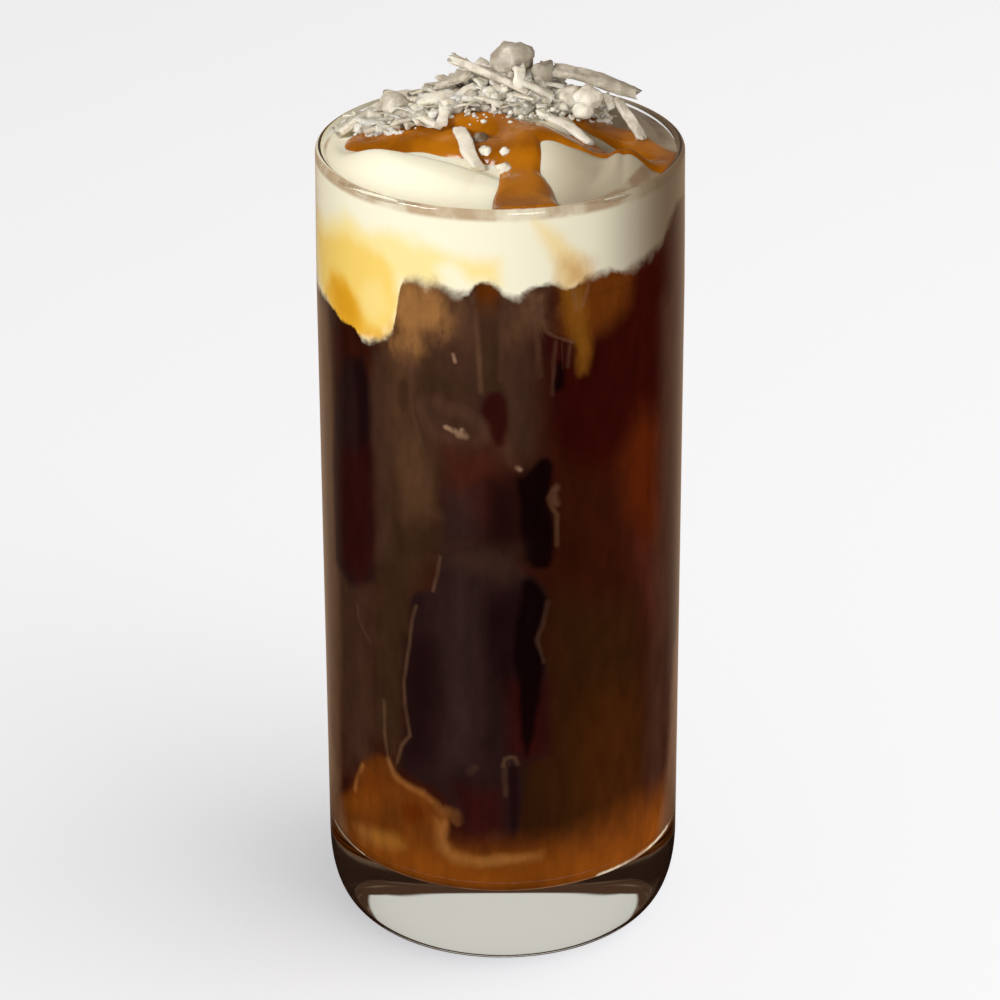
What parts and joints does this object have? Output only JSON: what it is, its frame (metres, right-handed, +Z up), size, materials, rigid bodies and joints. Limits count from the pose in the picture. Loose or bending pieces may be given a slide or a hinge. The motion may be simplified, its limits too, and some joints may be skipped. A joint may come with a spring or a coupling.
{
  "type": "caramel cold brew in a glass",
  "caption": "Straight tumbler of iced coffee over a caramel layer, with a heaped cold foam cap, caramel drizzle and a small heap of shredded coconut.",
  "frame": {"origin": "centre of the glass's foot, on the surface that it stands on", "axes": "+Z up along the glass's axis, -Y towards the side of the drink that is seen as its front, +X to its right"},
  "size_m": [0.0664, 0.0664, 0.1678],
  "materials": {
    "glass": "clear colourless soda-lime glass, fire-polished rim",
    "caramel_syrup": "amber caramel mixed with coffee, seen wet through the glass",
    "coffee": "near-black coffee with ice, reddish where light comes through",
    "cold_foam": "smooth whipped cream foam with a soft sheen",
    "coconut": "dry shredded coconut, matte and slightly see-through"
  },
  "bodies": {
    "root": {"glass": "glass", "caramel_layer": "caramel_syrup", "cold_brew": "coffee", "cold_foam": "cold_foam", "coconut_heap": "coconut"}
  },
  "joints": []
}
